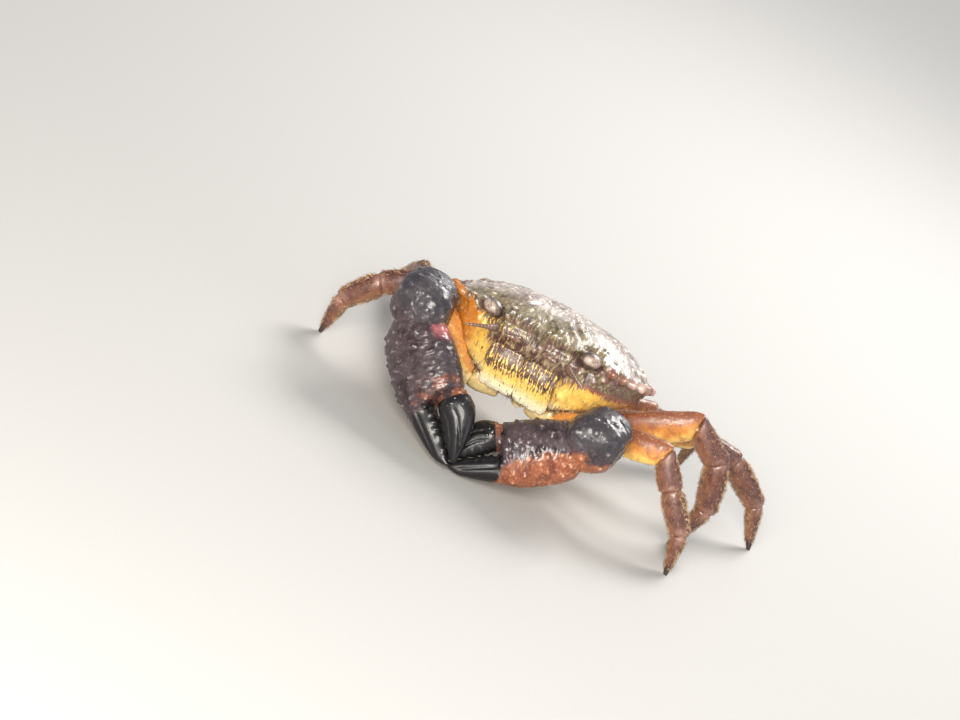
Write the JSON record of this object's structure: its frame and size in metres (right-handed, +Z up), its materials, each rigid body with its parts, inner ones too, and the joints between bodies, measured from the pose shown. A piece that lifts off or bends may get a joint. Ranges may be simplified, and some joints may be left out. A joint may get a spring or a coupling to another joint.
{
  "type": "warty shore crab",
  "caption": "Life-size still model of a warty shore crab crouching on its toes, heavy black-tipped claws folded in front of its face.",
  "frame": {"origin": "on the floor, under the middle of the model's bounding box", "axes": "+Z up; the crab faces -Y, so its left side is towards +X"},
  "size_m": [0.1536, 0.1401, 0.0507],
  "materials": {
    "shell": "satin shell, mottled grey, mauve and olive, wet highlights",
    "claw": "grainy satin shell, purple grey above and red brown below",
    "finger": "smooth glossy black",
    "merus": "satin, orange and yellow with a red brown upper edge",
    "leg": "satin, red brown with pale hairs",
    "belly": "satin, pale cream to yellow",
    "mouth": "satin, yellow and brown",
    "eyestalk": "satin, mottled brown",
    "eye": "clear gloss over a dark ring and a pale middle"
  },
  "bodies": {
    "root": {"abdomen": "belly", "carapace": "shell", "left_1_carpus": "leg", "left_1_dactyl": "leg", "left_1_merus": "merus", "left_1_propodus": "leg", "left_2_carpus": "leg", "left_2_dactyl": "leg", "left_2_merus": "merus", "left_2_propodus": "leg", "left_3_carpus": "leg", "left_3_dactyl": "leg", "left_3_merus": "merus", "left_3_propodus": "leg", "left_4_carpus": "leg", "left_4_dactyl": "leg", "left_4_merus": "merus", "left_4_propodus": "leg", "left_antenna": "mouth", "left_antennule": "mouth", "left_claw_carpus": "claw", "left_claw_finger": "finger", "left_claw_merus": "merus", "left_claw_palm": "claw", "left_eye": "eye", "left_eyestalk": "eyestalk", "left_maxilliped": "mouth", "right_1_carpus": "leg", "right_1_dactyl": "leg", "right_1_merus": "merus", "right_1_propodus": "leg", "right_2_carpus": "leg", "right_2_dactyl": "leg", "right_2_merus": "merus", "right_2_propodus": "leg", "right_3_carpus": "leg", "right_3_dactyl": "leg", "right_3_merus": "merus", "right_3_propodus": "leg", "right_4_carpus": "leg", "right_4_dactyl": "leg", "right_4_merus": "merus", "right_4_propodus": "leg", "right_antenna": "mouth", "right_antennule": "mouth", "right_claw_carpus": "claw", "right_claw_finger": "finger", "right_claw_merus": "merus", "right_claw_palm": "claw", "right_eye": "eye", "right_eyestalk": "eyestalk", "right_maxilliped": "mouth", "thorax": "belly"}
  },
  "joints": []
}
